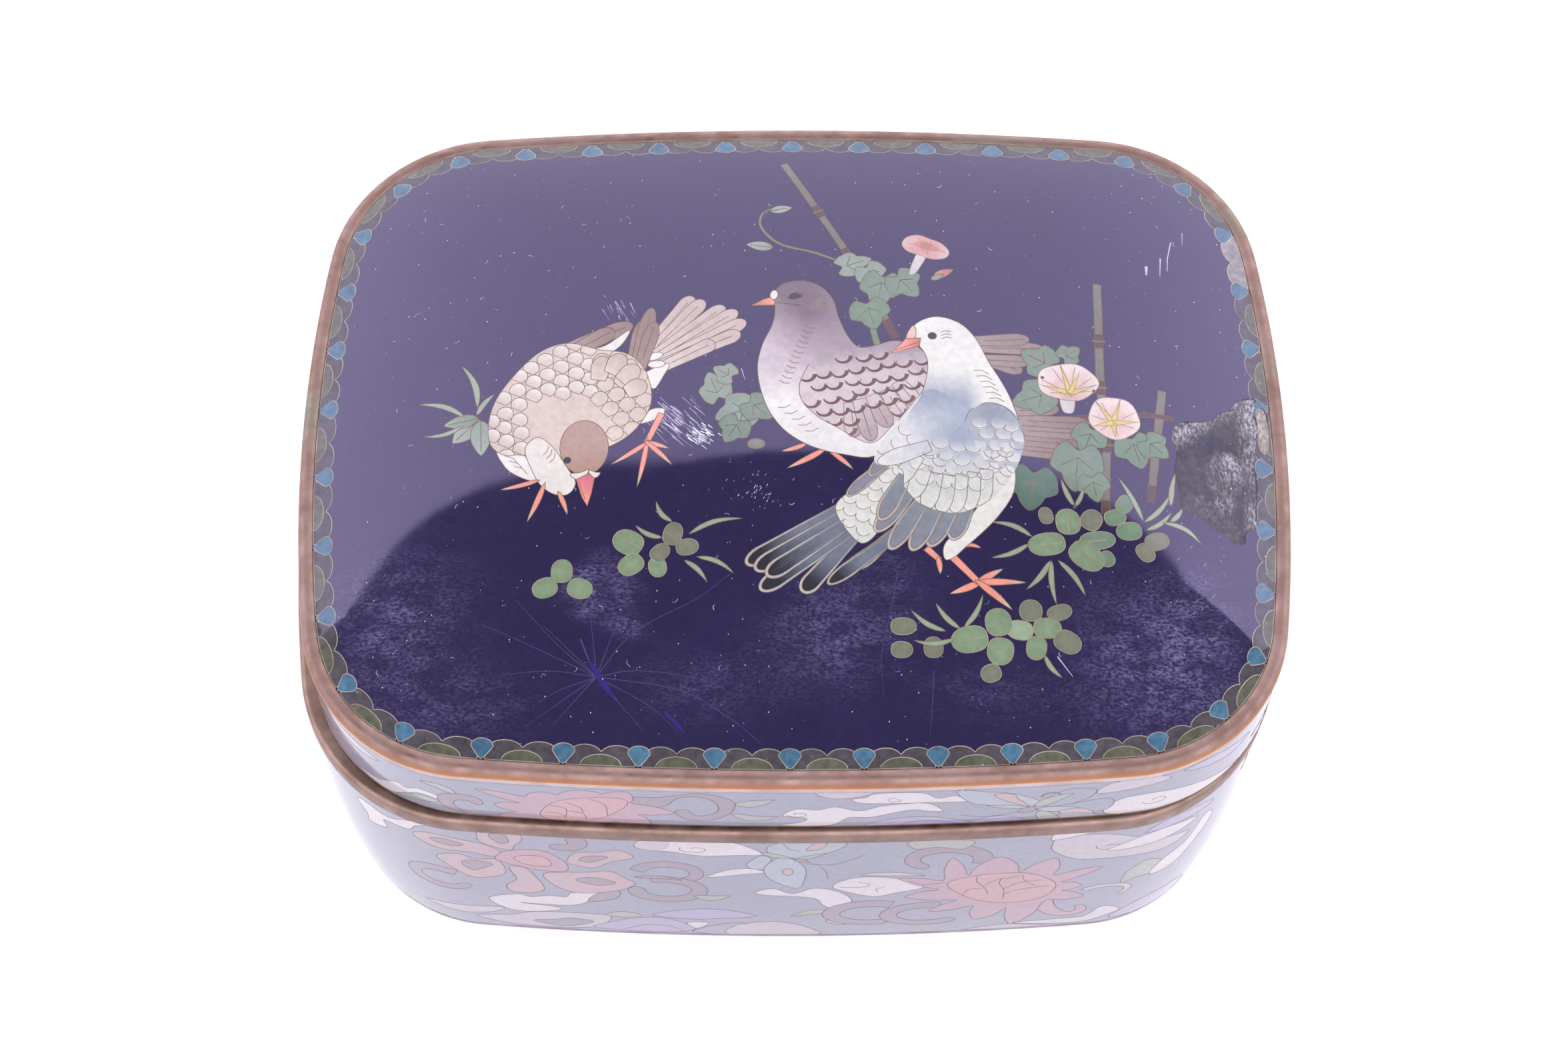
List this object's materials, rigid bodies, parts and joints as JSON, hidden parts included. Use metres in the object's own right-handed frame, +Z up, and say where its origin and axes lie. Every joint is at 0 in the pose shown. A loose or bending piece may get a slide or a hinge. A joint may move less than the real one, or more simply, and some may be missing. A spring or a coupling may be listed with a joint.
{
  "type": "cloisonne enamel box",
  "caption": "Low domed, round-cornered copper box with wired enamel on its lid and sides and a lift-off lid, for keeping small things.",
  "frame": {"origin": "middle of the box's outline, on the surface that it stands on", "axes": "+Z up, +X along the long side towards the viewer's right, +Y away from the viewer"},
  "size_m": [0.1622, 0.1246, 0.0761],
  "materials": {
    "copper": "worn brown copper",
    "navy_enamel": "polished dark blue enamel",
    "pale_enamel": "polished pale grey-blue enamel"
  },
  "bodies": {
    "root": {"base_copper_shell": "copper", "base_side_enamel": "pale_enamel", "base_upper_rim": "copper", "base_foot_rim": "copper", "lid_copper_shell": "copper", "lid_top_enamel": "navy_enamel", "lid_side_enamel": "pale_enamel", "lid_top_rim": "copper", "lid_lower_rim": "copper"}
  },
  "joints": []
}
